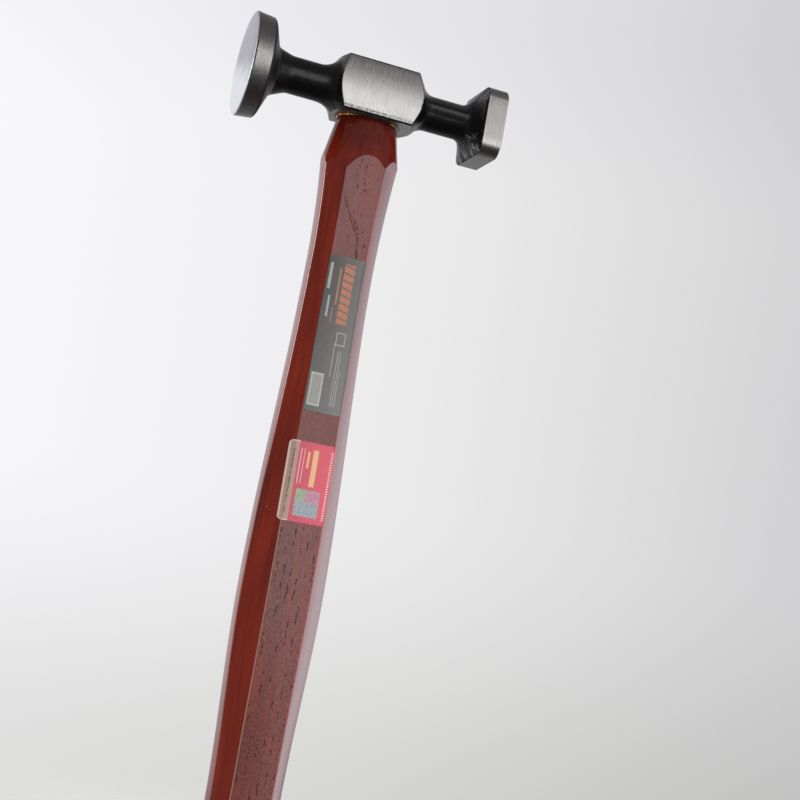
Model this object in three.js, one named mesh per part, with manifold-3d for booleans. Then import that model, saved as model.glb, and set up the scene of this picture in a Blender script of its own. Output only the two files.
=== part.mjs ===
// Two-faced hammer with a round face, a square face and an eight-sided wooden handle.
// All sizes are in millimetres. Every piece is drawn with its zero height on the head's axis,
// +X towards the square face and -Y towards the cheek that is usually shown. The group then
// lifts them, so that the butt of the handle stands on the ground.

import * as THREE from 'three';
import { mergeVertices } from 'three/addons/utils/BufferGeometryUtils.js';
import Module from 'manifold-3d';

const wasm = await Module();
wasm.setup();

// Whole hammer
const headHeight = 308; // head's axis above the butt of the handle
const fitGap = 0.3; // clearance between neighbouring pieces
const overrun = 5; // how far a cutter runs past what it cuts

// Round end of the head, with places measured from the handle's axis
const roundReach = 51.1;
const roundDiameter = 39.6; // across the edge of the striking face
const roundBackDiameter = 38.3; // the rim draws in a little towards its back
const roundFlatDiameter = 24; // middle of the face, which is quite flat
const roundCrown = 0.35; // how far the face falls away towards its edge
const roundBevel = 0.7;
const roundRim = 7; // from the striking face to the back of the rim
const roundBackEdge = 1.2; // rounding of the rim's back edge
const roundDrop = 0.45; // how far the disc hangs below the axis of the necks
const collarReach = 39.6; // where the back of the disc meets the collar
const collarDiameter = 18.8;
const collarEndReach = 35.2;
const collarEndDiameter = 15.5;
const roundNeckDiameter = 14.2;
const roundNeckOuterReach = 32.4;
const roundNeckInnerReach = 22.5;

// Block in the middle of the head
const blockDiameter = 29.4; // over the corners between its ground flats
const blockThickness = 21.2; // over the two cheeks
const blockHeight = 21.3; // over the top and the underside
const blockRise = 0.7; // block's middle above the axis of the necks
const roundShoulderReach = 12.8; // where the block starts to round off
const roundShoulderTilt = 0.05; // slope of that shoulder, whose foot is drawn in
const roundFlareReach = 15; // where the block's end meets the fillet of the neck
const roundFlareDiameter = 21.2;
const squareShoulderReach = 14.9;
const squareFlareReach = 18.4;
const squareFlareDiameter = 20.2;

// Square end of the head
const squareReach = 51.6;
const squareSide = 27.6;
const squareCorner = 4.8;
const squareFlatDiameter = 24; // middle of the face, which is quite flat
const squareCrown = 0.5; // how far the face falls away at its corners
const squareRim = 8.8; // from the striking face to the back of the rim
const squareBevel = 0.3;
const squareBackEdge = 0.4;
const squareBackLength = 7.2; // length over which the neck opens out to the square
const squareNeckDiameter = 13.8;
const squareNeckInnerReach = 24;

// Eye through the block
const eyeMouthLength = 20.6;
const eyeMouthWidth = 13.4;
const eyeTopLength = 22.4;
const eyeTopWidth = 15.4;

// Handle, in sections at given distances below the head's axis
const throat = { below: 26, width: 28.9, thickness: 22.2, frontFlat: 15.6, sideFlat: 8.6 };
const waist = { below: 68, width: 24.8, thickness: 19.8, frontFlat: 14, sideFlat: 8 };
const palm = { below: 193, width: 31.4, thickness: 26.6, frontFlat: 16, sideFlat: 7.2 };
const heel = { below: 270, width: 26, thickness: 23.6, frontFlat: 15.4, sideFlat: 8.8 };
const butt = { below: headHeight, width: 27.4, thickness: 24.6, frontFlat: 16, sideFlat: 9 };
const buttEdge = 1.8; // bevel round the butt
const lean = -0.35; // how far the handle's middle runs off to the side below its throat
const leanStart = 36;
const leanLength = 52;
const sectionSpacing = 9;

// Cone that brings the handle in to the underside of the head
const seatWidth = 23.5;
const seatThickness = 15.2;
const coneLength = 49;
const coneEndWidth = 41.5;
const coneEndThickness = 37.4;
const coneShift = 0.3; // how far the cone's middle is to the right of the handle's
const coneSkew = 0.08; // sideways slant of the hand-shaped cone, for each mm of depth

// Tenon and what wedges it
const tenonProud = 0.8; // how far the tenon and its wedges stand out of the eye
const tenonRoot = 8; // how far the tenon's form starts below the seat, inside the handle
const woodenWedgeDepth = 18;
const woodenWedgeTop = 3.4;
const woodenWedgeTip = 1.2;
const steelWedgeDepth = 9;
const steelWedgeWidth = 11;
const steelWedgeTop = 1.8;
const steelWedgeTip = 0.7;
const steelWedgeSpacing = 10.4;

// Bead of resin round the handle under the head
const beadWidth = 0.45;
const beadFoot = 0.15; // what is left of that width at its lower edge
const beadHeight = 0.6;

// Labels on the front flat
const labelThickness = 0.3;
const labelCorner = 1.4;
const greyLabelTop = 65.6; // below the head's axis
const greyLabelLength = 59.6;
const greyLabelWidth = 14.4;
const redLabelTop = 136.5;
const redLabelLength = 29.6;
const redLabelWidth = 16;
const redLabelFold = 2.6; // what is folded over onto the next flat

// Fineness of the round forms
const circlePoints = 64;
const curveSteps = 5;
const faceShares = [1, 0.9, 0.8, 0.66]; // rings of the square face, as shares of its size
const labelSteps = 6;

// Places that follow from the sizes above
const blockTop = blockRise + blockHeight / 2;
const blockUnderside = blockRise - blockHeight / 2;
const seatHeight = blockUnderside - fitGap;
const tenonTop = blockTop + tenonProud;
const squareBackReach = squareReach - squareRim;

const steel = { color: 0x9a9a98, roughness: 0.35, metalness: 1 };
const redWood = { color: 0x6b1f18, roughness: 0.3, metalness: 0 };
const paleWood = { color: 0xb48a58, roughness: 0.7, metalness: 0 };
const amberResin = { color: 0xc98a2e, roughness: 0.2, metalness: 0 };
const greyFilm = { color: 0x6e6c6e, roughness: 0.35, metalness: 0 };
const redFilm = { color: 0xd0566a, roughness: 0.3, metalness: 0 };

function between(low, high, share) {
  return low + (high - low) * share;
}

function smooth(share) {
  return THREE.MathUtils.smoothstep(share, 0, 1);
}

// Points round a circle or an ellipse, as pairs of flat coordinates
function ellipse(halfWidth, halfDepth) {
  const points = [];
  for (let step = 0; step < circlePoints; step++) {
    const angle = (2 * Math.PI * step) / circlePoints;
    points.push(new THREE.Vector2(halfWidth * Math.cos(angle), halfDepth * Math.sin(angle)));
  }
  return points;
}

// Points at equal steps round a rectangle with rounded corners, from the middle of its right side
function roundedRectangle(halfWidth, halfDepth, corner) {
  const path = new THREE.Path();
  path.moveTo(halfWidth, 0);
  path.lineTo(halfWidth, halfDepth - corner);
  path.absarc(halfWidth - corner, halfDepth - corner, corner, 0, Math.PI / 2);
  path.lineTo(corner - halfWidth, halfDepth);
  path.absarc(corner - halfWidth, halfDepth - corner, corner, Math.PI / 2, Math.PI);
  path.lineTo(-halfWidth, corner - halfDepth);
  path.absarc(corner - halfWidth, corner - halfDepth, corner, Math.PI, 1.5 * Math.PI);
  path.lineTo(halfWidth - corner, -halfDepth);
  path.absarc(halfWidth - corner, corner - halfDepth, corner, 1.5 * Math.PI, 2 * Math.PI);
  path.lineTo(halfWidth, 0);
  return path.getSpacedPoints(circlePoints).slice(0, circlePoints);
}

// Puts a flat outline across the head's axis, or across the handle's
function acrossHead(outline, reach, rise = 0) {
  return outline.map((point) => new THREE.Vector3(reach, point.x, point.y + rise));
}

function acrossHandle(outline, height) {
  return outline.map((point) => new THREE.Vector3(point.x, point.y, height));
}

// Closed skin over a row of outlines, each turning left about the way that the row runs.
// Strips between opposite points close the ends, so an outline has an even number of points.
function loft(outlines) {
  const count = outlines[0].length;
  const lastRow = (outlines.length - 1) * count;
  const faces = [];
  for (let row = 0; row + 1 < outlines.length; row++) {
    for (let column = 0; column < count; column++) {
      const here = row * count + column;
      const next = row * count + ((column + 1) % count);
      faces.push(here, next, next + count, here, next + count, here + count);
    }
  }
  for (let column = 0; column + 1 < count / 2; column++) {
    const [here, next] = [column, column + 1];
    const [hereOpposite, nextOpposite] = [count - 1 - here, count - 1 - next];
    const halves = [[here, next, nextOpposite], [here, nextOpposite, hereOpposite]];
    halves.forEach((half) => {
      faces.push(...half.map((corner) => lastRow + corner));
      faces.push(...half.reverse());
    });
  }
  const geometry = new THREE.BufferGeometry().setFromPoints(outlines.flat());
  geometry.setIndex(faces);
  return geometry;
}

function solidOf(geometry) {
  const bare = geometry.clone();
  bare.deleteAttribute('normal');
  bare.deleteAttribute('uv');
  const merged = mergeVertices(bare);
  return new wasm.Manifold(new wasm.Mesh({
    numProp: 3,
    vertProperties: new Float32Array(merged.attributes.position.array),
    triVerts: new Uint32Array(merged.index.array),
  }));
}

function geometryOf(solid) {
  const mesh = solid.getMesh();
  const geometry = new THREE.BufferGeometry();
  geometry.setAttribute('position', new THREE.BufferAttribute(mesh.vertProperties, mesh.numProp));
  geometry.setIndex(new THREE.BufferAttribute(mesh.triVerts, 1));
  return geometry;
}

// Box between two corners
function box(low, high) {
  const size = new THREE.Vector3().subVectors(high, low);
  const geometry = new THREE.BoxGeometry(size.x, size.y, size.z);
  const middle = new THREE.Vector3().addVectors(low, high).multiplyScalar(0.5);
  return solidOf(geometry.translate(middle.x, middle.y, middle.z));
}

// Tapered blade that points down from the tenon's top, thick along X or Y
function blade({ depth, top, tip, width, alongX, gap = 0 }) {
  const slope = (top - tip) / depth;
  const highest = gap > 0 ? overrun : 0;
  const outlineAt = (height) => {
    const thin = (tip + slope * (height + depth)) / 2 + gap;
    const wide = width / 2 + gap;
    const halfX = alongX ? wide : thin;
    const halfY = alongX ? thin : wide;
    const corners = [[1, 1], [-1, 1], [-1, -1], [1, -1]];
    const outline = corners.map(([x, y]) => new THREE.Vector2(x * halfX, y * halfY));
    return acrossHandle(outline, tenonTop + height);
  };
  return loft([outlineAt(-depth - gap), outlineAt(highest)]);
}

// Half of the head's outline, from the middle of the round face to the neck of the square end
function headOutline() {
  const roundRadius = roundDiameter / 2;
  const backRadius = roundBackDiameter / 2;
  const neckRadius = roundNeckDiameter / 2;
  const blockRadius = blockDiameter / 2;
  const squareNeckRadius = squareNeckDiameter / 2;
  const path = new THREE.Path();
  path.moveTo(-roundReach, roundFlatDiameter / 2);
  const edgeRadius = roundRadius - roundBevel;
  path.quadraticCurveTo(
    -roundReach, between(roundFlatDiameter / 2, edgeRadius, 0.5),
    roundCrown - roundReach, edgeRadius,
  );
  path.lineTo(roundCrown + roundBevel - roundReach, roundRadius);
  path.lineTo(roundRim - roundReach, backRadius);
  path.quadraticCurveTo(
    roundRim + roundBackEdge / 2 - roundReach, backRadius,
    roundRim + roundBackEdge - roundReach, backRadius - roundBackEdge,
  );
  path.lineTo(-collarReach, collarDiameter / 2);
  path.lineTo(-collarEndReach, collarEndDiameter / 2);
  path.quadraticCurveTo(
    between(-collarEndReach, -roundNeckOuterReach, 0.6), neckRadius,
    -roundNeckOuterReach, neckRadius,
  );
  path.lineTo(-roundNeckInnerReach, neckRadius);
  path.quadraticCurveTo(
    between(-roundNeckInnerReach, -roundFlareReach, 0.7), neckRadius,
    -roundFlareReach, roundFlareDiameter / 2,
  );
  path.lineTo(-roundShoulderReach, blockRadius);
  path.lineTo(squareShoulderReach, blockRadius);
  path.lineTo(squareFlareReach, squareFlareDiameter / 2);
  path.quadraticCurveTo(
    between(squareFlareReach, squareNeckInnerReach, 0.4), squareNeckRadius,
    squareNeckInnerReach, squareNeckRadius,
  );
  return path.getPoints(curveSteps);
}

// Rise of the section's middle: full over the block, none along the necks, and a drop at the disc
function riseAt(reach) {
  if (reach < -roundNeckOuterReach) {
    const past = -roundNeckOuterReach - reach;
    return -roundDrop * smooth(past / (collarReach - roundNeckOuterReach));
  }
  const [shoulder, neck] = reach < 0
    ? [-roundShoulderReach, -roundNeckInnerReach]
    : [squareShoulderReach, squareNeckInnerReach];
  return blockRise * smooth((reach - neck) / (shoulder - neck));
}

// Tilts the shoulder by the round neck, with its top standing out and its foot drawn in
function tiltedShoulder(section) {
  return section.map((point) => {
    const past = point.x + roundNeckInnerReach;
    const before = squareShoulderReach - point.x;
    const share = Math.min(
      smooth(past / (roundNeckInnerReach - roundShoulderReach)),
      THREE.MathUtils.clamp(before / (squareShoulderReach + roundShoulderReach), 0, 1),
    );
    return point.setX(point.x - roundShoulderTilt * share * point.z);
  });
}

// Lets the square face fall away from its flat middle towards its corners
function crowned(section) {
  const flat = squareFlatDiameter / 2;
  const corner = (squareSide / 2 - squareCorner) * Math.SQRT2 + squareCorner;
  return section.map((point) => {
    const share = Math.max(Math.hypot(point.y, point.z) - flat, 0) / (corner - flat);
    return point.setX(point.x - squareCrown * share ** 2);
  });
}

// Sections of the square end, from its round neck to its striking face
function squareEndSections() {
  const half = squareSide / 2;
  const neckRadius = squareNeckDiameter / 2;
  const sections = [];
  for (let step = 0; step <= curveSteps + 1; step++) {
    const share = step / (curveSteps + 1);
    const size = between(neckRadius, half - squareBackEdge, share ** 2.4);
    const corner = between(size, squareCorner - squareBackEdge, share ** 2);
    const reach = squareBackReach - squareBackLength * (1 - share);
    sections.push(acrossHead(roundedRectangle(size, size, corner), reach));
  }
  const full = roundedRectangle(half, half, squareCorner);
  sections.push(acrossHead(full, squareBackReach + squareBackEdge));
  sections.push(crowned(acrossHead(full, squareReach - squareBevel)));
  faceShares.forEach((share) => {
    const size = (half - squareBevel) * share;
    const corner = (squareCorner - squareBevel) * share;
    sections.push(crowned(acrossHead(roundedRectangle(size, size, corner), squareReach)));
  });
  return sections;
}

// Form that passes through the eye, made smaller all round by a gap
function eyeForm(lowest, highest, gap) {
  const outlineAt = (height) => {
    const share = (height - blockUnderside) / blockHeight;
    const halfLength = between(eyeMouthLength, eyeTopLength, share) / 2 - gap;
    const halfWidth = between(eyeMouthWidth, eyeTopWidth, share) / 2 - gap;
    return acrossHandle(roundedRectangle(halfLength, halfWidth, halfWidth - gap), height);
  };
  return loft([outlineAt(lowest), outlineAt(highest)]);
}

function makeHead() {
  const forged = headOutline().map((point) => (
    tiltedShoulder(acrossHead(ellipse(point.y, point.y), point.x, riseAt(point.x)))
  ));
  let head = solidOf(loft([...forged, ...squareEndSections()]));
  const low = -roundNeckInnerReach;
  const high = squareNeckInnerReach;
  const far = blockDiameter / 2 + overrun;
  const cheek = blockThickness / 2;
  head = head
    .subtract(box(new THREE.Vector3(low, -far, -far), new THREE.Vector3(high, -cheek, far)))
    .subtract(box(new THREE.Vector3(low, cheek, -far), new THREE.Vector3(high, far, far)))
    .subtract(box(new THREE.Vector3(low, -far, blockTop), new THREE.Vector3(high, far, far)))
    .subtract(box(new THREE.Vector3(low, -far, -far), new THREE.Vector3(high, far, blockUnderside)))
    .subtract(solidOf(eyeForm(blockUnderside - overrun, blockTop + overrun, 0)));
  return geometryOf(head);
}

// Section sizes of the handle at a distance below the head's axis
function handleSizesAt(below) {
  const mix = (from, to, share) => ({
    width: between(from.width, to.width, share),
    thickness: between(from.thickness, to.thickness, share),
    frontFlat: between(from.frontFlat, to.frontFlat, share),
    sideFlat: between(from.sideFlat, to.sideFlat, share),
  });
  if (below < waist.below) {
    const share = (waist.below - below) / (waist.below - throat.below);
    return mix(waist, throat, share ** 2);
  }
  const [from, to] = below < palm.below ? [waist, palm] : below < heel.below ? [palm, heel] : [heel, butt];
  return mix(from, to, smooth((below - from.below) / (to.below - from.below)));
}

function leanAt(below) {
  return lean * smooth((below - leanStart) / leanLength);
}

// Eight-sided section, turning left from the front end of its right flat
function eightSides(below, inset = 0) {
  const sizes = handleSizesAt(below);
  const middle = leanAt(below);
  const halfWidth = sizes.width / 2 - inset;
  const halfThickness = sizes.thickness / 2 - inset;
  const front = sizes.frontFlat / 2 - inset / 2;
  const side = sizes.sideFlat / 2 - inset / 2;
  const outline = [
    [halfWidth, -side], [halfWidth, side], [front, halfThickness], [-front, halfThickness],
    [-halfWidth, side], [-halfWidth, -side], [-front, -halfThickness], [front, -halfThickness],
  ];
  return acrossHandle(outline.map(([x, y]) => new THREE.Vector2(x + middle, y)), -below);
}

// Ring of the hand-shaped cone
function coneRing(halfWidth, halfThickness, height) {
  const ring = ellipse(halfWidth, halfThickness).map(({ x, y }) => (
    new THREE.Vector2(x - coneSkew * y + coneShift, y)
  ));
  return acrossHandle(ring, height);
}

function steelWedgePlaces() {
  return [-steelWedgeSpacing / 2, steelWedgeSpacing / 2];
}

function steelWedgeBlade(gap) {
  return blade({
    depth: steelWedgeDepth, top: steelWedgeTop, tip: steelWedgeTip, width: steelWedgeWidth,
    alongX: false, gap,
  });
}

function woodenWedgeBlade(gap) {
  return blade({
    depth: woodenWedgeDepth, top: woodenWedgeTop, tip: woodenWedgeTip,
    width: eyeTopLength + overrun, alongX: true, gap,
  });
}

// Cuts the slots that hold the steel wedges
function cutForSteelWedges(solid) {
  return steelWedgePlaces().reduce((cut, place) => (
    cut.subtract(solidOf(steelWedgeBlade(fitGap).translate(place, 0, 0)))
  ), solid);
}

function makeHandle() {
  const sections = [eightSides(butt.below, buttEdge), eightSides(butt.below - buttEdge)];
  const length = butt.below - buttEdge + seatHeight;
  const count = Math.round(length / sectionSpacing);
  for (let step = 1; step <= count; step++) {
    sections.push(eightSides(between(butt.below - buttEdge, -seatHeight, step / count)));
  }
  sections[0].forEach((point) => point.setZ(-butt.below));
  const cone = loft([
    coneRing(coneEndWidth / 2, coneEndThickness / 2, -butt.below - overrun),
    coneRing(coneEndWidth / 2, coneEndThickness / 2, seatHeight - coneLength),
    coneRing(seatWidth / 2, seatThickness / 2, seatHeight),
  ]);
  const tenon = solidOf(eyeForm(seatHeight - tenonRoot, tenonTop, fitGap));
  const whole = solidOf(loft(sections)).intersect(solidOf(cone)).add(tenon);
  return geometryOf(cutForSteelWedges(whole.subtract(solidOf(woodenWedgeBlade(fitGap)))));
}

function makeWoodenWedge() {
  const eye = solidOf(eyeForm(tenonTop - 2 * woodenWedgeDepth, tenonTop, fitGap));
  return geometryOf(cutForSteelWedges(solidOf(woodenWedgeBlade(0)).intersect(eye)));
}

// Ring of resin that follows the cone just under the head
function makeBead() {
  const widen = (coneEndWidth - seatWidth) / 2 / coneLength;
  const thicken = (coneEndThickness - seatThickness) / 2 / coneLength;
  const ringAt = (drop, out) => coneRing(
    seatWidth / 2 + widen * drop + fitGap + out,
    seatThickness / 2 + thicken * drop + fitGap + out,
    seatHeight - drop,
  );
  const outer = solidOf(loft([ringAt(beadHeight, beadFoot), ringAt(0, beadWidth)]));
  const inner = solidOf(loft([ringAt(beadHeight + overrun, 0), ringAt(-overrun, 0)]));
  return geometryOf(outer.subtract(inner));
}

// Label that lies on the front flat, with its left edge folded round onto the next flat
function makeLabel({ top, length, width, fold }) {
  const corner = labelCorner;
  const drops = [];
  for (let step = 0; step <= curveSteps; step++) {
    drops.push(corner * (1 - Math.cos((Math.PI / 2) * (step / curveSteps))));
  }
  for (let step = 1; step < labelSteps; step++) {
    drops.push(between(corner, length - corner, step / labelSteps));
  }
  for (let step = curveSteps; step >= 0; step--) {
    drops.push(length - drops[step]);
  }
  const outlines = drops.map((drop) => {
    const fromEnd = Math.min(drop, length - drop);
    const bite = fromEnd < corner ? corner - Math.sqrt(corner ** 2 - (corner - fromEnd) ** 2) : 0;
    const below = top + drop;
    const sizes = handleSizesAt(below);
    const middle = leanAt(below);
    const edge = new THREE.Vector2(middle - sizes.frontFlat / 2, -sizes.thickness / 2);
    const next = new THREE.Vector2(middle - sizes.width / 2, -sizes.sideFlat / 2);
    const alongNext = next.clone().sub(edge).normalize();
    const outOfNext = new THREE.Vector2(alongNext.y, -alongNext.x).negate();
    const outOfFront = new THREE.Vector2(0, -1);
    const outOfEdge = outOfNext.clone().add(outOfFront).normalize();
    const lift = (out) => {
      const atEdge = outOfEdge.clone().multiplyScalar(out / outOfEdge.dot(outOfFront)).add(edge);
      const right = new THREE.Vector2(width / 2 - bite, edge.y - out);
      const left = fold > 0
        ? edge.clone().addScaledVector(alongNext, fold - bite).addScaledVector(outOfNext, out)
        : new THREE.Vector2(bite - width / 2, edge.y - out);
      const bend = fold > 0 ? atEdge : new THREE.Vector2(0, edge.y - out);
      return [left, bend, right];
    };
    const outside = lift(fitGap + labelThickness);
    const inside = lift(fitGap).reverse();
    return acrossHandle([...outside, ...inside], -below);
  });
  return loft(outlines.reverse());
}

const hammer = new THREE.Group();
hammer.position.z = headHeight;

function addPiece(name, geometry, look) {
  const flat = geometry.index ? geometry.toNonIndexed() : geometry;
  flat.computeVertexNormals();
  const mesh = new THREE.Mesh(flat, new THREE.MeshStandardMaterial(look));
  mesh.name = name;
  hammer.add(mesh);
  return mesh;
}

addPiece('hammer_head', makeHead(), steel);
addPiece('handle', makeHandle(), redWood);
addPiece('wooden_wedge', makeWoodenWedge(), paleWood);
steelWedgePlaces().forEach((place, index) => {
  addPiece(`steel_wedge_${index + 1}`, steelWedgeBlade(0), steel).position.x = place;
});
addPiece('resin_bead', makeBead(), amberResin);
addPiece('grey_label', makeLabel({
  top: greyLabelTop, length: greyLabelLength, width: greyLabelWidth, fold: 0,
}), greyFilm);
addPiece('red_label', makeLabel({
  top: redLabelTop, length: redLabelLength, width: redLabelWidth, fold: redLabelFold,
}), redFilm);

export default hammer;
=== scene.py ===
# Two-faced hammer: a forged head with ground faces and black lacquer, on a red eight-sided handle.
# Shapes are drawn in millimetres with zero height on the head's axis, +X towards the square face
# and -Y towards the cheek that the labels are under. Each finished piece is then brought to
# metres and lifted to its place in the frame.

import math

import bmesh
import bpy
from mathutils import Matrix, Vector, kdtree, noise


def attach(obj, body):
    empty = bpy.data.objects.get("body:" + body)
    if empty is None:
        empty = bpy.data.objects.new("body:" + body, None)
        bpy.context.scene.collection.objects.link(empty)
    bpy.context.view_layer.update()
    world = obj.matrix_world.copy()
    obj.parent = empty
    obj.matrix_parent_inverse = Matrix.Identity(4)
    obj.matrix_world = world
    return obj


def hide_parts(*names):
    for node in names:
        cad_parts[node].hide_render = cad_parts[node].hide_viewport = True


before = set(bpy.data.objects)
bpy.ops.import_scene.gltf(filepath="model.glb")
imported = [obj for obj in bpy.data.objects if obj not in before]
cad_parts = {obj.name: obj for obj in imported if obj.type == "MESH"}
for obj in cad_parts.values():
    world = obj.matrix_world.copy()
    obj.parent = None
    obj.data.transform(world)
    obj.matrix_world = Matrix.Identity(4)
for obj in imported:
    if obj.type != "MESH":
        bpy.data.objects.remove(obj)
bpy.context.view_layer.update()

MILLIMETRE = 0.001

# Whole hammer
AXIS_HEIGHT = 308
QUARTER_TURN = math.pi / 2

# Camera, solved from the hammer's outlines: its place in millimetres and its directions
CAMERA_PLACE = (-132.85, -507.51, 130.64)
CAMERA_RIGHT = (0.93012, -0.32522, 0.17063)
CAMERA_FORWARD = (0.30796, 0.94379, 0.12011)
CAMERA_LENS = 63
CAMERA_SENSOR = 36

# Round end of the head, with places measured from the handle's axis
ROUND_REACH = 51.1
ROUND_RADIUS = 19.8
ROUND_BACK_RADIUS = 19.15
ROUND_FLAT_RADIUS = 12
ROUND_CROWN = 0.35
ROUND_BEVEL = 0.7
ROUND_BEVEL_SHARE = 0.2
ROUND_RIM = 7
ROUND_BACK_EDGE = 1.2
ROUND_BACK_SHARE = 0.88
ROUND_DROP = 0.45
COLLAR_REACH = 39.6
COLLAR_RADIUS = 9.4
COLLAR_END_REACH = 35.2
COLLAR_END_RADIUS = 7.75
COLLAR_BEND_SHARE = 0.3
COLLAR_END_BEND_SHARE = 0.6
ROUND_NECK_RADIUS = 7.1
ROUND_NECK_OUTER_REACH = 32.4
ROUND_NECK_INNER_REACH = 22.5

# Block in the middle of the head
BLOCK_RADIUS = 14.7
BLOCK_THICKNESS = 21.2
BLOCK_HEIGHT = 21.3
BLOCK_RISE = 0.7
ROUND_SHOULDER_REACH = 12.8
ROUND_SHOULDER_TILT = 0.05
ROUND_FLARE_REACH = 15
ROUND_FLARE_RADIUS = 10.6
ROUND_FLARE_BEND_SHARE = 0.7
SQUARE_SHOULDER_REACH = 14.9
SQUARE_FLARE_REACH = 18.4
SQUARE_FLARE_RADIUS = 10.1
SQUARE_FLARE_BEND_SHARE = 0.4
HALF_BLOCK = BLOCK_THICKNESS / 2
BLOCK_TOP = BLOCK_RISE + BLOCK_HEIGHT / 2
BLOCK_UNDERSIDE = BLOCK_RISE - BLOCK_HEIGHT / 2

# Square end of the head
SQUARE_REACH = 51.6
SQUARE_HALF = 13.8
SQUARE_CORNER = 4.8
SQUARE_FLAT_RADIUS = 12
SQUARE_CROWN = 0.5
SQUARE_FACE_SHARES = (0.95, 0.9, 0.85, 0.8, 0.75, 0.66)
SQUARE_FACE_STEP = 0.05
SQUARE_RIM = 8.8
SQUARE_BEVEL = 0.3
SQUARE_BACK_EDGE = 0.4
SQUARE_BACK_LENGTH = 7.2
SQUARE_NECK_RADIUS = 6.9
SQUARE_NECK_INNER_REACH = 24
SQUARE_BACK_REACH = SQUARE_REACH - SQUARE_RIM
SQUARE_BACK_RINGS = 14
SQUARE_BACK_FLARE = 2.4
SQUARE_BRUSHED_LENGTH = 3.6

# Ground edges of the block, as how far in from the edge and how far down at the edge
GROUND_EDGE_STEPS = [0.14, 0.16, 0.4]
GROUND_EDGE_DROPS = [0.07, 0.02]
FLAT_MERGE = 0.12

# Eye through the block
EYE_MOUTH = (20.6, 13.4)
EYE_TOP = (22.4, 15.4)
EYE_END_STEPS = 20
TENON_PROUD = 0.8
TENON_ROOT = 8
TENON_GAP = 0.05
SAWN_DEPTH = 1
TENON_TOP = BLOCK_TOP + TENON_PROUD

# Handle, in sections at distances below the head's axis:
# width, thickness, width of the front flat and width of the side flat
THROAT = (26, 28.9, 22.2, 15.6, 8.6)
WAIST = (68, 24.8, 19.8, 14, 8)
PALM = (193, 31.4, 26.6, 16, 7.2)
HEEL = (270, 26, 23.6, 15.4, 8.8)
BUTT = (AXIS_HEIGHT, 27.4, 24.6, 16, 9)
BUTT_EDGE = 1.8
LEAN = -0.35
LEAN_START = 36
LEAN_LENGTH = 52
SECTION_SPACING = 4.5
LONG_EDGE = 0.6
SEAT_HEIGHT = BLOCK_UNDERSIDE - 0.05
SEAT = (23.5, 15.2)
CONE_END = (41.5, 37.4)
CONE_LENGTH = 49
CONE_SHIFT = 0.3
CONE_SKEW = 0.08

# Wedges: depth, thickness at the top, thickness at the tip
WOODEN_WEDGE = (18, 3.4, 1.2)
STEEL_WEDGE = (9, 1.8, 0.7)
STEEL_WEDGE_WIDTH = 11
STEEL_WEDGE_SPACING = 10.4
WOODEN_WEDGE_WIDTH = EYE_TOP[0] + 2
WEDGE_GAP = 0.06
WEDGE_EYE_DEPTH = 40
STEEL_WEDGE_EDGE = 0.16

# Bead of resin round the handle under the head, which sits a little out and down from the seat
BEAD_RADIUS = 0.42
BEAD_OUT = 0.1
BEAD_DOWN = 0.15
BEAD_LEAST_SHARE = 0.25
BEAD_USUAL_SHARE = 0.75
BEAD_WAVES = 4
BEAD_WAVE_SHARE = 0.9
BEAD_RIPPLES = 14
BEAD_RIPPLE_SHARE = 0.5
BEAD_FRONT = 0.55
BEAD_FRONT_FADE = 0.3
BEAD_FRONT_LOSS = 0.7

# Labels, as distances below the head's axis and to the left and right of the middle
FILM_THICKNESS = 0.12
FILM_LIFT = 0.04
FILM_CORNER = 1.4
FILM_START = -40
FILM_CUTS = (40, 24)
GREY_LABEL = {"top": 65.6, "length": 59.6, "left": -7.2, "right": 7.2}
RED_LABEL = {"top": 136.5, "length": 29.6, "left": -9.6, "right": 8}

# Fineness
RING_POINTS = 128
BEND_STEPS = 12
RING_CORNER_SEGMENTS = RING_POINTS // 4 - 1
LONG_EDGE_STEPS = 6
FILM_CORNER_STEPS = 8
BEAD_POINTS = 220
BEAD_SIDES = 12
BEAD_START_RADIUS = 0.02

# How far cutting forms run past what they cut, and how near counts as in the same place
OVERRUN = 5
KERF_OVERRUN = 1
NEARLY_HALF = 0.499
SAME_WAY = 0.999
SAME_PLACE = 1e-3
MERGE = 1e-4
RING_MARGIN = 0.01
NECK_MARGIN = 0.1
GROUND_MARGIN = 0.08
FACING = 0.8

# Floor and lamp, in metres
FLOOR_RADIUS = 0.3
FLOOR_POINTS = 96
FLOOR_FADE = (0.06, 0.28)
LAMP_AIM = (0, 0, 0.2)
LAMP_DIRECTION = (0.45, -0.75, 0.5)
LAMP_DISTANCE = 2
LAMP_SIZE = 0.8
LAMP_RADIANCE = 8


def between(low, high, share):
    return low + (high - low) * share


def smooth(share):
    share = min(max(share, 0), 1)
    return share * share * (3 - 2 * share)


# Camera

def make_camera():
    """Camera at the photograph's place, as solved from the hammer's outlines."""
    place = Vector(CAMERA_PLACE) * MILLIMETRE
    right = Vector(CAMERA_RIGHT).normalized()
    forward = Vector(CAMERA_FORWARD).normalized()
    up = right.cross(forward)
    data = bpy.data.cameras.new("camera")
    data.lens = CAMERA_LENS
    data.sensor_width = CAMERA_SENSOR
    data.clip_start = 0.01
    data.clip_end = 50
    camera = bpy.data.objects.new("camera", data)
    turn = Matrix((right, up, -forward)).transposed().to_4x4()
    camera.matrix_world = Matrix.Translation(place) @ turn
    bpy.context.scene.collection.objects.link(camera)
    bpy.context.scene.camera = camera


# Shaping

def take_up(piece):
    """Makes a piece the only one that is selected."""
    bpy.ops.object.select_all(action="DESELECT")
    piece.select_set(True)
    bpy.context.view_layer.objects.active = piece


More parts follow.
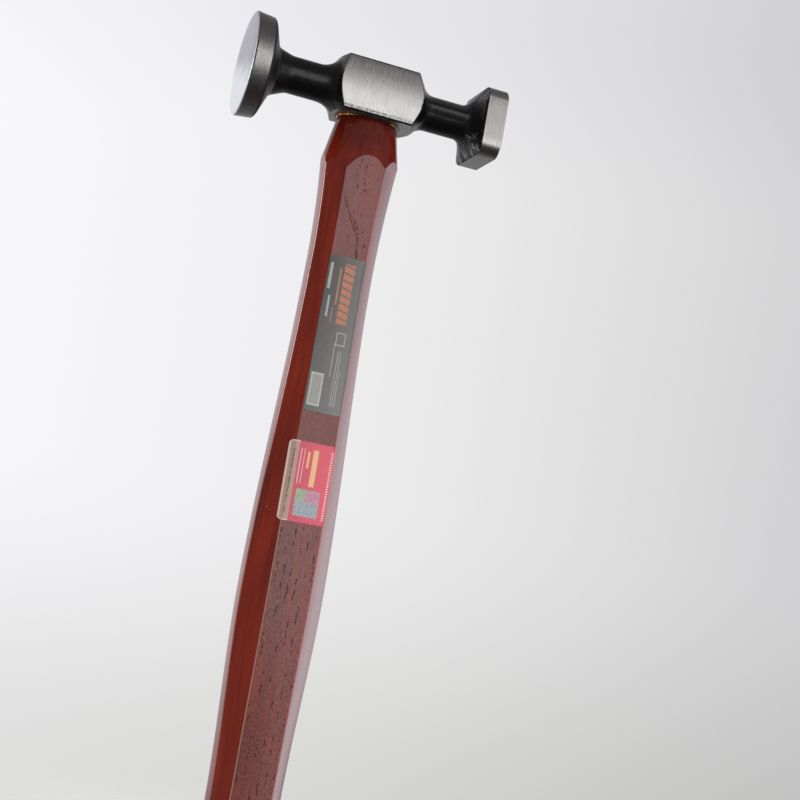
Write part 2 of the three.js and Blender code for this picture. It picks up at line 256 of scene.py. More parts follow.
def open_piece(piece, chosen="DESELECT"):
    """Opens a piece for editing, with nothing of it selected or, on SELECT, all of it."""
    take_up(piece)
    bpy.ops.object.mode_set(mode="EDIT")
    bpy.ops.mesh.select_mode(type="VERT")
    bpy.ops.mesh.select_all(action=chosen)


def close_piece():
    """Leaves edit mode."""
    bpy.ops.object.mode_set(mode="OBJECT")


def select(piece, kind, wanted):
    """Selects the vertices, edges or faces that a test wants."""
    bpy.ops.mesh.select_mode(type=kind)
    bpy.ops.mesh.select_all(action="DESELECT")
    mesh = bmesh.from_edit_mesh(piece.data)
    items = {"VERT": mesh.verts, "EDGE": mesh.edges, "FACE": mesh.faces}[kind]
    for item in items:
        if wanted(item):
            item.select_set(True)
    mesh.select_flush_mode()
    bmesh.update_edit_mesh(piece.data)


def draw_out(step, stretch, centre):
    """Extrudes what is selected by a step, then stretches it about a centre."""
    bpy.ops.mesh.extrude_region_move(TRANSFORM_OT_translate={"value": step})
    bpy.ops.transform.resize(value=stretch, center_override=centre)


def apply_modifier(piece, kind, **settings):
    modifier = piece.modifiers.new(kind.lower(), kind)
    for name, value in settings.items():
        setattr(modifier, name, value)
    take_up(piece)
    bpy.ops.object.modifier_apply(modifier=modifier.name)


def combine(piece, other, operation):
    """Joins another closed shape to a piece, or cuts with it, and uses it up."""
    apply_modifier(piece, "BOOLEAN", operation=operation, object=other, solver="MANIFOLD")
    piece.data.materials.clear()
    bpy.data.objects.remove(other)


def take_primitive(name):
    """Names the primitive that was just added and brings its place into its mesh."""
    piece = bpy.context.active_object
    piece.name = name
    bpy.ops.object.transform_apply(location=True, rotation=True, scale=True)
    return piece


def start_plane(name, width, length, place, turn=(0, 0, 0)):
    """Starts a piece as a plane, open for editing with all of it selected."""
    bpy.ops.mesh.primitive_plane_add(size=1, location=place, rotation=turn)
    bpy.context.active_object.scale = (width, length, 1)
    piece = take_primitive(name)
    open_piece(piece, "SELECT")
    return piece


def round_corners(size, steps):
    """Rounds the corners of the plane that is selected."""
    bpy.ops.mesh.bevel(offset=size, segments=steps, affect="VERTICES")


def turn_faces_out(piece):
    open_piece(piece, "SELECT")
    bpy.ops.mesh.remove_doubles(threshold=MERGE)
    bpy.ops.mesh.normals_make_consistent(inside=False)
    close_piece()


def finish_piece(piece, node, smooth_degrees, material=None):
    turn_faces_out(piece)
    take_up(piece)
    piece.scale = (MILLIMETRE,) * 3
    piece.location.z = AXIS_HEIGHT * MILLIMETRE
    bpy.ops.object.transform_apply(location=True, rotation=True, scale=True)
    bpy.ops.object.shade_smooth_by_angle(angle=math.radians(smooth_degrees))
    if material:
        piece.data.materials.append(material)
    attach(piece, "root")
    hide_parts(node)


class Outline:
    """Half outline of a turned form, as a row of (reach, radius)."""

    def __init__(self, reach, radius):
        self.points = [(reach, radius)]

    def line(self, reach, radius, steps):
        """Runs straight to a place, in even steps."""
        first = self.points[-1]
        for step in range(1, steps + 1):
            share = step / steps
            self.points.append((between(first[0], reach, share), between(first[1], radius, share)))

    def bend(self, bend_reach, bend_radius, reach, radius, steps=BEND_STEPS):
        """Curves to a place, drawn towards a bend on the way."""
        first = self.points[-1]
        for step in range(1, steps + 1):
            share = step / steps
            self.points.append(tuple(
                between(between(start, bend, share), between(bend, end, share), share)
                for start, bend, end in zip(first, (bend_reach, bend_radius), (reach, radius))))


def head_outline():
    """From the edge of the round face's flat middle to the end of the square end's neck."""
    outline = Outline(-ROUND_REACH, ROUND_FLAT_RADIUS)
    edge_radius = ROUND_RADIUS - ROUND_BEVEL
    outline.bend(-ROUND_REACH, between(ROUND_FLAT_RADIUS, edge_radius, 0.5),
                 ROUND_CROWN - ROUND_REACH, edge_radius, 6)
    corner = ROUND_BEVEL * ROUND_BEVEL_SHARE
    outline.bend(ROUND_CROWN + corner - ROUND_REACH, ROUND_RADIUS - corner,
                 ROUND_CROWN + ROUND_BEVEL - ROUND_REACH, ROUND_RADIUS, 5)
    outline.line(ROUND_RIM - ROUND_REACH, ROUND_BACK_RADIUS, 3)
    outline.bend(ROUND_RIM + ROUND_BACK_EDGE / 2 - ROUND_REACH, ROUND_BACK_RADIUS,
                 ROUND_RIM + ROUND_BACK_EDGE - ROUND_REACH, ROUND_BACK_RADIUS - ROUND_BACK_EDGE, 6)
    back_reach, back_radius = outline.points[-1]
    outline.line(between(back_reach, -COLLAR_REACH, ROUND_BACK_SHARE),
                 between(back_radius, COLLAR_RADIUS, ROUND_BACK_SHARE), 3)
    outline.bend(-COLLAR_REACH, COLLAR_RADIUS,
                 between(-COLLAR_REACH, -COLLAR_END_REACH, COLLAR_BEND_SHARE),
                 between(COLLAR_RADIUS, COLLAR_END_RADIUS, COLLAR_BEND_SHARE), 6)
    outline.line(-COLLAR_END_REACH, COLLAR_END_RADIUS, 3)
    neck_bend = between(-COLLAR_END_REACH, -ROUND_NECK_OUTER_REACH, COLLAR_END_BEND_SHARE)
    outline.bend(neck_bend, ROUND_NECK_RADIUS, -ROUND_NECK_OUTER_REACH, ROUND_NECK_RADIUS)
    outline.line(-ROUND_NECK_INNER_REACH, ROUND_NECK_RADIUS, 3)
    flare_bend = between(-ROUND_NECK_INNER_REACH, -ROUND_FLARE_REACH, ROUND_FLARE_BEND_SHARE)
    outline.bend(flare_bend, ROUND_NECK_RADIUS, -ROUND_FLARE_REACH, ROUND_FLARE_RADIUS)
    outline.line(-ROUND_SHOULDER_REACH, BLOCK_RADIUS, 5)
    outline.line(SQUARE_SHOULDER_REACH, BLOCK_RADIUS, 6)
    outline.line(SQUARE_FLARE_REACH, SQUARE_FLARE_RADIUS, 4)
    flare_bend = between(SQUARE_FLARE_REACH, SQUARE_NECK_INNER_REACH, SQUARE_FLARE_BEND_SHARE)
    outline.bend(flare_bend, SQUARE_NECK_RADIUS, SQUARE_NECK_INNER_REACH, SQUARE_NECK_RADIUS)
    outline.line(SQUARE_BACK_REACH - SQUARE_BACK_LENGTH, SQUARE_NECK_RADIUS, 3)
    return outline.points


def rise_at(reach):
    """Rise of the section's middle: full over the block, and a drop at the disc."""
    if reach < -ROUND_NECK_OUTER_REACH:
        past = -ROUND_NECK_OUTER_REACH - reach
        return -ROUND_DROP * smooth(past / (COLLAR_REACH - ROUND_NECK_OUTER_REACH))
    if reach < 0:
        shoulder, neck = -ROUND_SHOULDER_REACH, -ROUND_NECK_INNER_REACH
    else:
        shoulder, neck = SQUARE_SHOULDER_REACH, SQUARE_NECK_INNER_REACH
    return BLOCK_RISE * smooth((reach - neck) / (shoulder - neck))


def add_square_ring(reach, half, corner):
    """Adds a ring of the square end: a plane with its corners rounded off and its face taken out."""
    bpy.ops.mesh.select_all(action="DESELECT")
    bpy.ops.mesh.primitive_plane_add(size=2 * half, location=(reach, 0, 0),
                                     rotation=(0, QUARTER_TURN, 0))
    round_corners(min(corner, 2 * half * NEARLY_HALF), RING_CORNER_SEGMENTS)
    bpy.ops.mesh.delete(type="ONLY_FACE")


def tilt_shoulder(head):
    """Tilts the shoulder by the round neck, with its top standing out and its foot drawn in."""
    for vertex in head.data.vertices:
        past = vertex.co.x + ROUND_NECK_INNER_REACH
        before = SQUARE_SHOULDER_REACH - vertex.co.x
        share = min(smooth(past / (ROUND_NECK_INNER_REACH - ROUND_SHOULDER_REACH)),
                    max(before / (SQUARE_SHOULDER_REACH + ROUND_SHOULDER_REACH), 0))
        vertex.co.x -= ROUND_SHOULDER_TILT * share * vertex.co.z


def crown_square(head):
    """Lets the square face fall away from its flat middle towards its corners."""
    corner = (SQUARE_HALF - SQUARE_CORNER) * math.sqrt(2) + SQUARE_CORNER
    for vertex in head.data.vertices:
        if vertex.co.x > SQUARE_REACH - SQUARE_BEVEL - RING_MARGIN:
            out = math.hypot(vertex.co.y, vertex.co.z) - SQUARE_FLAT_RADIUS
            fall = SQUARE_CROWN * (max(out, 0) / (corner - SQUARE_FLAT_RADIUS)) ** 2
            vertex.co.x = min(vertex.co.x, SQUARE_REACH) - fall


def forge_head():
    """Draws the head out of a disc, from the round face through both necks to the square face."""
    points = head_outline()
    reach, radius = points[0]
    bpy.ops.mesh.primitive_circle_add(vertices=RING_POINTS, radius=radius, fill_type="NGON",
                                      location=(reach, 0, rise_at(reach)),
                                      rotation=(0, QUARTER_TURN, 0))
    head = take_primitive("hammer_head_forged")
    open_piece(head, "SELECT")
    for next_reach, next_radius in points[1:]:
        stretch = next_radius / radius
        height = rise_at(next_reach)
        draw_out((next_reach - reach, 0, height - rise_at(reach)), (1, stretch, stretch),
                 (next_reach, 0, height))
        reach, radius = next_reach, next_radius
    bpy.ops.mesh.delete(type="ONLY_FACE")
    for step in range(1, SQUARE_BACK_RINGS + 1):
        share = step / SQUARE_BACK_RINGS
        half = between(SQUARE_NECK_RADIUS, SQUARE_HALF - SQUARE_BACK_EDGE, share ** SQUARE_BACK_FLARE)
        corner = between(half, SQUARE_CORNER - SQUARE_BACK_EDGE, share ** 2)
        add_square_ring(SQUARE_BACK_REACH - SQUARE_BACK_LENGTH * (1 - share), half, corner)
    add_square_ring(SQUARE_BACK_REACH + SQUARE_BACK_EDGE, SQUARE_HALF, SQUARE_CORNER)
    add_square_ring(SQUARE_REACH - SQUARE_BEVEL, SQUARE_HALF, SQUARE_CORNER)
    face_half, face_corner = SQUARE_HALF - SQUARE_BEVEL, SQUARE_CORNER - SQUARE_BEVEL
    add_square_ring(SQUARE_REACH, face_half, face_corner)
    for step, share in enumerate(SQUARE_FACE_SHARES, 1):
        add_square_ring(SQUARE_REACH + SQUARE_FACE_STEP * step, face_half * share,
                        face_corner * share)
    face_end = SQUARE_REACH + SQUARE_FACE_STEP * (len(SQUARE_FACE_SHARES) - 0.5)
    neck_end = SQUARE_BACK_REACH - SQUARE_BACK_LENGTH - NECK_MARGIN
    select(head, "EDGE", lambda edge: len(edge.link_faces) < 2
           and min(v.co.x for v in edge.verts) > neck_end)
    bpy.ops.mesh.bridge_edge_loops()
    select(head, "EDGE", lambda edge: min(v.co.x for v in edge.verts) > face_end)
    bpy.ops.mesh.edge_face_add()
    close_piece()
    crown_square(head)
    tilt_shoulder(head)
    turn_faces_out(head)
    return head


def in_block(point):
    """Whether a point lies between the two necks."""
    return -ROUND_NECK_INNER_REACH < point.x < SQUARE_NECK_INNER_REACH


def grind_flat(head, place, normal):
    """Grinds a flat on the block, with a border whose edge is eased down a little."""
    place = Vector(place)
    normal = Vector(normal)
    open_piece(head)
    select(head, "FACE", lambda face: in_block(face.calc_center_median()))
    bpy.ops.mesh.bisect(plane_co=place, plane_no=normal, use_fill=True, clear_outer=True)

    def on_flat(point):
        return abs((point - place).dot(normal)) < SAME_PLACE and in_block(point)

    select(head, "VERT", lambda v: on_flat(v.co))
    bpy.ops.mesh.remove_doubles(threshold=FLAT_MERGE)
    select(head, "FACE", lambda face: face.normal.dot(normal) > SAME_WAY
           and all(on_flat(v.co) for v in face.verts))
    rings = []
    for step in GROUND_EDGE_STEPS:
        mesh = bmesh.from_edit_mesh(head.data)
        rings.append([v.index for f in mesh.faces if f.select for v in f.verts])
        bpy.ops.mesh.inset(thickness=step, depth=0)
    mesh = bmesh.from_edit_mesh(head.data)
    mesh.verts.ensure_lookup_table()
    for ring, drop in zip(rings, GROUND_EDGE_DROPS):
        for index in ring:
            mesh.verts[index].co -= normal * drop
    bmesh.update_edit_mesh(head.data)
    close_piece()


def eye_sizes(height, gap):
    """Length and width of the tapered eye at a height, less a gap all round."""
    share = (height - BLOCK_UNDERSIDE) / BLOCK_HEIGHT
    return tuple(between(low, high, share) - 2 * gap for low, high in zip(EYE_MOUTH, EYE_TOP))


def eye_form(name, low, high, gap):
    """Form with round ends that fills the eye from one height to another, less a gap."""
    length, width = eye_sizes(low, gap)
    longer, wider = eye_sizes(high, gap)
    piece = start_plane(name, length, width, (0, 0, low))
    round_corners(width * NEARLY_HALF, EYE_END_STEPS)
    draw_out((0, 0, high - low), (longer / length, wider / width, 1), (0, 0, high))
    close_piece()
    turn_faces_out(piece)
    return piece


def make_head():
    """Forging with its ground flats and the eye through the block."""
    head = forge_head()
    grind_flat(head, (0, -HALF_BLOCK, 0), (0, -1, 0))
    grind_flat(head, (0, HALF_BLOCK, 0), (0, 1, 0))
    grind_flat(head, (0, 0, BLOCK_TOP), (0, 0, 1))
    grind_flat(head, (0, 0, BLOCK_UNDERSIDE), (0, 0, -1))
    eye = eye_form("eye", BLOCK_UNDERSIDE - OVERRUN, BLOCK_TOP + OVERRUN, 0)
    combine(head, eye, "DIFFERENCE")
    return head


def section_at(below):
    """Width, thickness, front flat and side flat of the handle at a distance below the axis."""
    if below < WAIST[0]:
        share = ((WAIST[0] - below) / (WAIST[0] - THROAT[0])) ** 2
        return [between(a, b, share) for a, b in zip(WAIST[1:], THROAT[1:])]
    for low, high in ((WAIST, PALM), (PALM, HEEL), (HEEL, BUTT)):
        if below <= high[0]:
            share = smooth((below - low[0]) / (high[0] - low[0]))
            return [between(a, b, share) for a, b in zip(low[1:], high[1:])]
    return list(BUTT[1:])


def lean_at(below):
    """How far the handle's middle runs off to the side at a distance below the axis."""
    return LEAN * smooth((below - LEAN_START) / LEAN_LENGTH)


def shape_section(handle, height, old, new):
    """Stretches the section at a height from its old sizes to its new ones."""
    centre = (lean_at(-height), 0, height)
    width, thickness, front, side = old
    grow_x, grow_y = new[0] / width, new[1] / thickness
    bpy.ops.transform.resize(value=(grow_x, grow_y, 1), center_override=centre)

    def at_height(vertex):
        return abs(vertex.co.z - height) < SAME_PLACE

    select(handle, "VERT", lambda v: at_height(v) and abs(v.co.y) > new[1] * NEARLY_HALF)
    bpy.ops.transform.resize(value=(new[2] / (front * grow_x), 1, 1), center_override=centre)
    select(handle, "VERT",
           lambda v: at_height(v) and abs(v.co.x - centre[0]) > new[0] * NEARLY_HALF)
    bpy.ops.transform.resize(value=(1, new[3] / (side * grow_y), 1), center_override=centre)
    select(handle, "FACE", lambda f: all(at_height(v) for v in f.verts))


def shape_handle():
    """Eight-sided bar, from the butt to the seat under the head."""
    width, thickness, front, side = section_at(BUTT[0])
    sizes = [width - 2 * BUTT_EDGE, thickness - 2 * BUTT_EDGE, front - BUTT_EDGE, side - BUTT_EDGE]
    height = -BUTT[0]
    handle = start_plane("handle_lacquered", sizes[0], sizes[1], (LEAN, 0, height))
    cut = (sizes[0] - sizes[2]) / 2
    round_corners(cut, 1)
    made = [sizes[0], sizes[1], sizes[2], sizes[1] - 2 * cut]
    shape_section(handle, height, made, sizes)
    length = BUTT[0] - BUTT_EDGE + SEAT_HEIGHT
    count = round(length / SECTION_SPACING)
    heights = [BUTT_EDGE - BUTT[0] + length * step / count for step in range(count + 1)]
    for next_height in heights:
        slide = lean_at(-next_height) - lean_at(-height)
        bpy.ops.mesh.extrude_region_move(
            TRANSFORM_OT_translate={"value": (slide, 0, next_height - height)})
        wanted = section_at(-next_height)
        shape_section(handle, next_height, sizes, wanted)
        height, sizes = next_height, wanted
    select(handle, "EDGE", lambda e: abs(e.verts[0].co.z - e.verts[1].co.z) > BUTT_EDGE / 2)
    bpy.ops.mesh.bevel(offset=LONG_EDGE, segments=LONG_EDGE_STEPS, affect="EDGES")
    close_piece()
    turn_faces_out(handle)
    return handle


def cone_form():
    """Cone that brings the handle in to the underside of the head."""
    bottom = -BUTT[0] - OVERRUN
    bpy.ops.mesh.primitive_circle_add(vertices=RING_POINTS, radius=0.5, fill_type="NGON",
                                      location=(0, 0, bottom))
    bpy.context.active_object.scale = (CONE_END[0], CONE_END[1], 1)
    cone = take_primitive("cone")
    open_piece(cone, "SELECT")
    waist = SEAT_HEIGHT - CONE_LENGTH
    draw_out((0, 0, waist - bottom), (1, 1, 1), (0, 0, waist))
    draw_out((0, 0, CONE_LENGTH), (SEAT[0] / CONE_END[0], SEAT[1] / CONE_END[1], 1),
             (0, 0, SEAT_HEIGHT))
    close_piece()
    for vertex in cone.data.vertices:
        vertex.co.x += CONE_SHIFT - CONE_SKEW * vertex.co.y
    turn_faces_out(cone)
    return cone


def wedge_blade(name, sizes, width, place, gap=0):
    """Blade of a wedge, tapered down to its tip: along the eye, or across it at a place."""
    depth, top, tip = sizes
    blade = start_plane(name, width + 2 * gap, tip + 2 * gap, (0, 0, TENON_TOP - depth - gap))
    draw_out((0, 0, depth + gap), (1, (top + 2 * gap) / (tip + 2 * gap), 1), (0, 0, TENON_TOP))
    if gap:
        draw_out((0, 0, KERF_OVERRUN), (1, 1, 1), (0, 0, 0))
    close_piece()
    if place is not None:
        for vertex in blade.data.vertices:
            vertex.co = Vector((place - vertex.co.y, vertex.co.x, vertex.co.z))
    turn_faces_out(blade)
    return blade


def steel_places():
    """Where the two steel wedges stand along the eye."""
    return (-STEEL_WEDGE_SPACING / 2, STEEL_WEDGE_SPACING / 2)


def cut_for_steel(piece):
    """Cuts the slots that the two steel wedges open."""
    for place in steel_places():
        slot = wedge_blade("slot", STEEL_WEDGE, STEEL_WEDGE_WIDTH, place, WEDGE_GAP)
        combine(piece, slot, "DIFFERENCE")


def make_handle():
    """Handle with its cone, its tenon through the eye, and the kerf and slots of the wedges."""
    handle = shape_handle()
    combine(handle, cone_form(), "INTERSECT")
    tenon = eye_form("tenon", SEAT_HEIGHT - TENON_ROOT, TENON_TOP, TENON_GAP)
    combine(handle, tenon, "UNION")
    kerf = wedge_blade("kerf", WOODEN_WEDGE, WOODEN_WEDGE_WIDTH, None, WEDGE_GAP)
    combine(handle, kerf, "DIFFERENCE")
    cut_for_steel(handle)
    return handle


def make_wooden_wedge():
    """Wedge along the eye, with the eye's round ends and with slots for the steel ones."""
    wedge = wedge_blade("wooden_wedge_driven", WOODEN_WEDGE, WOODEN_WEDGE_WIDTH, None)
    eye = eye_form("eye", TENON_TOP - WEDGE_EYE_DEPTH, TENON_TOP, TENON_GAP)
    combine(wedge, eye, "INTERSECT")
    cut_for_steel(wedge)
    return wedge


def make_steel_wedge(index, place):
    """Wedge across the eye, with its corners beaten round."""
    wedge = wedge_blade(f"steel_wedge_{index}_driven", STEEL_WEDGE, STEEL_WEDGE_WIDTH, place)
    apply_modifier(wedge, "BEVEL", width=STEEL_WEDGE_EDGE, segments=2, limit_method="ANGLE",
                   angle_limit=math.radians(40))
    return wedge


def make_label(name, handle, top, length, left, right):
    """Film with rounded corners, laid on the front flat and round its edges."""
    width = right - left
    film = start_plane(name, width, length, ((left + right) / 2, FILM_START, -top - length / 2),
                       (QUARTER_TURN, 0, 0))
    round_corners(FILM_CORNER, FILM_CORNER_STEPS)
    for count, start, size, normal in ((FILM_CUTS[0], left, width, (1, 0, 0)),
                                       (FILM_CUTS[1], -top - length, length, (0, 0, 1))):
        for step in range(1, count):
            bpy.ops.mesh.select_all(action="SELECT")
            place = Vector(normal) * (start + size * step / count)
            bpy.ops.mesh.bisect(plane_co=place, plane_no=normal)
    close_piece()
    apply_modifier(film, "SHRINKWRAP", target=handle, wrap_method="PROJECT", use_project_y=True,
                   use_positive_direction=True, use_negative_direction=False, offset=FILM_LIFT)
    apply_modifier(film, "SOLIDIFY", thickness=FILM_THICKNESS, offset=1)
    return film


def make_bead():
    """Bead of resin that was squeezed out of the eye's mouth, uneven, and thin at the front."""
    bpy.ops.mesh.primitive_torus_add(major_segments=BEAD_POINTS, minor_segments=BEAD_SIDES,
                                     major_radius=1, minor_radius=BEAD_START_RADIUS,
                                     location=(0, 0, 0))
    bead = take_primitive("resin_bead_wavy")
    for vertex in bead.data.vertices:
        place = vertex.co
        angle = math.atan2(place.y, place.x)
        ring = Vector((math.cos(angle), math.sin(angle), 0))
        wave = noise.noise(Vector((BEAD_WAVES * ring.x, BEAD_WAVES * ring.y, 3)))
        ripple = noise.noise(Vector((BEAD_RIPPLES * ring.x, BEAD_RIPPLES * ring.y, 7)))
        share = BEAD_USUAL_SHARE + BEAD_WAVE_SHARE * wave + BEAD_RIPPLE_SHARE * ripple
        at_front = smooth((-ring.y - BEAD_FRONT) / BEAD_FRONT_FADE)
        share = max(BEAD_LEAST_SHARE, share) * (1 - BEAD_FRONT_LOSS * at_front)
        seat = Vector((ring.x * (SEAT[0] / 2 + BEAD_OUT), ring.y * (SEAT[1] / 2 + BEAD_OUT),
                       SEAT_HEIGHT - BEAD_DOWN))
        seat.x += CONE_SHIFT - CONE_SKEW * seat.y
        vertex.co = seat + (place - ring) * (share * BEAD_RADIUS / BEAD_START_RADIUS)
    return bead


# Finishes

# Colours of the steel, the lacquer and the wood
STEEL_DARK = (0.2, 0.195, 0.192)
STEEL_PALE = (0.5, 0.485, 0.47)
STEEL_SHADOW = (0.05, 0.05, 0.056)
LACQUER = (0.0035, 0.0034, 0.0042)
WOOD_DARK = (0.085, 0.0068, 0.0028)
WOOD_RED = (0.215, 0.0185, 0.0065)

# How flat the ground domes are, in millimetres: they fall away by the height squared over this
CHEEK_DOME = 125
SQUARE_DOME = 200

# Half sizes of the painted shade on the underside round the eye's mouth, rows of pores, and a nib in
# the lacquer
EYE_SHADE = (12.6, 9.5)
PORE_SPACING = 2.7
NIB_PLACE = (5, -10, -60)

# The head's layer of distances, and its materials after the black lacquer
EDGE_LAYER = "edge_distance"
ROUND_FACE, RIM, GROUND, SQUARE, BRUSHED = range(1, 6)

# Printed areas of the labels: left, right, and heights above the lower edge
GREY_BLOCKS = [(-0.6, 3.4, 34, 57)]
GREY_WARM_LINES = [(-2.3, -1.7, 41, 55), (-3, -2.7, 34, 40)]
GREY_PALE_LINES = [(-6.3, -5.2, 46.5, 56.5), (-5.2, -4.4, 36, 44), (2.2, 2.45, 3, 24),
                   (3.1, 3.35, 3, 24), (3.9, 4.15, 3, 17), (0.4, 0.65, 14, 27)]
GREY_BOX = [(-6.4, -1.6, 2.2, 14.6)]
GREY_BOX_MIDDLE = [(-5.9, -2.1, 2.8, 14)]
GREY_FRAME = [(0.6, 4.2, 26, 31)]
GREY_FRAME_MIDDLE = [(0.95, 3.85, 26.4, 30.6)]
RED_GOLD_BARS = [(-0.4, 1.6, 13.4, 27), (-2.4, -1.6, 20, 26)]
RED_TICKS = [(6.4, 7.3, 2, 27.6)]
RED_PALE_LINES = [(-5.2, -4.8, 14, 27), (-3.9, -3.6, 14, 27)]
RED_FOIL = [(-4.6, 4.6, 2.4, 12.2)]
RED_INSIDE = [(RED_LABEL["left"] + 0.5, RED_LABEL["right"] - 0.5, 0.5, RED_LABEL["length"] - 0.5)]
STRIP_DASHES = [(-8, -7.5, 3, 26.6)]
STRIP_EDGE = -6.05


class Value:
    """A shader socket that can be written into sums: each operation adds its Math node."""

    def __init__(self, nodes, socket):
        self.nodes = nodes
        self.socket = socket

    def math(self, operation, *values):
        """Adds a Math node that works on the values."""
        return self.nodes.node("Math", {"operation": operation}, dict(enumerate(values)))

    def __add__(self, other):
        return self.math("ADD", self, other)

    def __radd__(self, other):
        return self.math("ADD", other, self)

    def __sub__(self, other):
        return self.math("SUBTRACT", self, other)

    def __rsub__(self, other):
        return self.math("SUBTRACT", other, self)

    def __mul__(self, other):
        return self.math("MULTIPLY", self, other)

    def __rmul__(self, other):
        return self.math("MULTIPLY", other, self)

    def __truediv__(self, other):
        return self.math("DIVIDE", self, other)

    def size(self):
        return self.math("ABSOLUTE", self)

    def floor(self):
        return self.math("FLOOR", self)

    def sine(self):
        return self.math("SINE", self)

    def angle(self, other):
        """Angle whose sides are this value and the other, in radians."""
        return self.math("ARCTAN2", self, other)

    def least(self, other):
        return self.math("MINIMUM", self, other)

    def most(self, other):
        return self.math("MAXIMUM", self, other)

    def ramp(self, low, high, from_value=0, to_value=1):
        """Runs smoothly from one value to another as this one goes from low to high."""
        return self.nodes.node("MapRange", {"interpolation_type": "SMOOTHSTEP"}, {
            "Value": self, "From Min": low, "From Max": high, "To Min": from_value,
            "To Max": to_value,
        })

    def band(self, start, full, fade, end):
        """One between full and fade, falling softly to nothing at start and end."""
        return self.ramp(start, full) * self.ramp(fade, end, 1, 0)


class Nodes:
    """A node tree in the making."""

    def __init__(self, tree):
        self.tree = tree

    def plug(self, socket, value):
        """Links a value to a socket, or sets a plain number, colour or vector on it."""
        if isinstance(value, Value):
            self.tree.links.new(value.socket, socket)
        elif hasattr(value, "__len__") and len(value) == 3 and len(socket.default_value) == 4:
            socket.default_value = (*value, 1)
        else:
            socket.default_value = value

    def node(self, kind, settings=None, sockets=None, output=0):
        """Adds a node with its settings and sockets, and gives one of its outputs."""
        node = self.tree.nodes.new("ShaderNode" + kind)
        for name, value in (settings or {}).items():
            setattr(node, name, value)
        for name, value in (sockets or {}).items():
            self.plug(node.inputs[name], value)
        return Value(self, node.outputs[output])

    def vector(self, operation, *values, output=0):
        """Adds a Vector Math node: output 1 is its number."""
        return self.node("VectorMath", {"operation": operation}, dict(enumerate(values)), output)

    def length(self, place):
        return self.vector("LENGTH", place, output=1)

    def scaled(self, colour, strength):
        return self.node("VectorMath", {"operation": "SCALE"}, {0: colour, "Scale": strength})

    def join(self, *parts):
        """Joins three numbers to a vector."""
        return self.node("CombineXYZ", sockets=dict(enumerate(parts)))

    def parts(self, place):
        """Splits a vector or a colour into its three numbers."""
        node = self.node("SeparateXYZ", sockets={0: place}).socket.node
        return [Value(self, socket) for socket in node.outputs]

    def noise(self, place, scale=1, detail=2, roughness=0.5, distortion=0):
        return self.node("TexNoise", sockets={
            "Vector": place, "Scale": scale, "Detail": detail, "Roughness": roughness,
            "Distortion": distortion,
        })

    def mix(self, share, low, high):
        """Mixes two colours."""
        return self.node("Mix", {"data_type": "RGBA"}, {0: share, 6: low, 7: high}, output=2)


class Finish(Nodes):
    """A material in the making. Its places are millimetres from the head's axis."""

    def __init__(self, name, **constants):
        self.material = bpy.data.materials.new(name)
        self.material.use_nodes = True
        super().__init__(self.material.node_tree)
        self.shader = self.tree.nodes["Principled BSDF"]
        self.place = self.vector("MULTIPLY_ADD", self.node("TexCoord", output=3),
                                 (1 / MILLIMETRE,) * 3, (0, 0, -AXIS_HEIGHT))
        for words, value in constants.items():
            self.set(words.replace("_", " ").title().replace("Ior", "IOR"), value)

    def set(self, socket, value):
        """Sets or links a socket of the shader."""
        self.plug(self.shader.inputs[socket], value)

    def stretched(self, scale):
        """Place with each axis multiplied by its own number."""
        return self.vector("MULTIPLY_ADD", self.place, scale, (0, 0, 0))

    def grain(self, scale, detail=2, roughness=0.5, distortion=0):
        """Noise with so many changes a millimetre: one number, or one for each axis."""
        if isinstance(scale, tuple):
            return self.noise(self.stretched(scale), 1, detail, roughness, distortion)
        return self.noise(self.place, scale, detail, roughness, distortion)

    def spots(self, scale, reach, share):
        """Round spots at scattered places: 1 in the middle of a spot, 0 outside."""
        cells = self.node("TexVoronoi", sockets={"Vector": self.place, "Scale": scale})
        chance = self.parts(Value(self, cells.socket.node.outputs["Color"]))[0]
        return cells.ramp(reach * 0.6, reach, 1, 0) * chance.ramp(1 - share, 1.001 - share)

    def paint(self, share, low, high):
        """Gives the surface a mix of two colours."""
        self.set("Base Color", self.mix(share, low, high))

    def bump(self, height, distance=1):
        """Raises the surface by the height times a distance in millimetres."""
        self.set("Normal", self.node("Bump", sockets={
            "Strength": 1, "Distance": distance * MILLIMETRE, "Height": height,
        }))


class FilmFinish(Finish):
    """Finish of a label, whose printed areas are placed from its lower edge."""

    def __init__(self, name, label, **constants):
        super().__init__(name, specular_ior_level=0.5, **constants)
        self.across, _, height = self.parts(self.place)
        self.up = height + label["top"] + label["length"]

    def inked(self, areas, soft=0.12):
        """One inside the areas, each given as its left, right, bottom and top."""
        return sum(
            self.across.band(left - soft, left + soft, right - soft, right + soft)
            * self.up.band(bottom - soft, bottom + soft, top - soft, top + soft)
            for left, right, bottom, top in areas)

    def ripple(self, lean, closeness):
        """Waves up the label, leaning over as they go across it."""
        wave = self.up + self.across * lean if lean else self.up
        return (wave * closeness).sine()


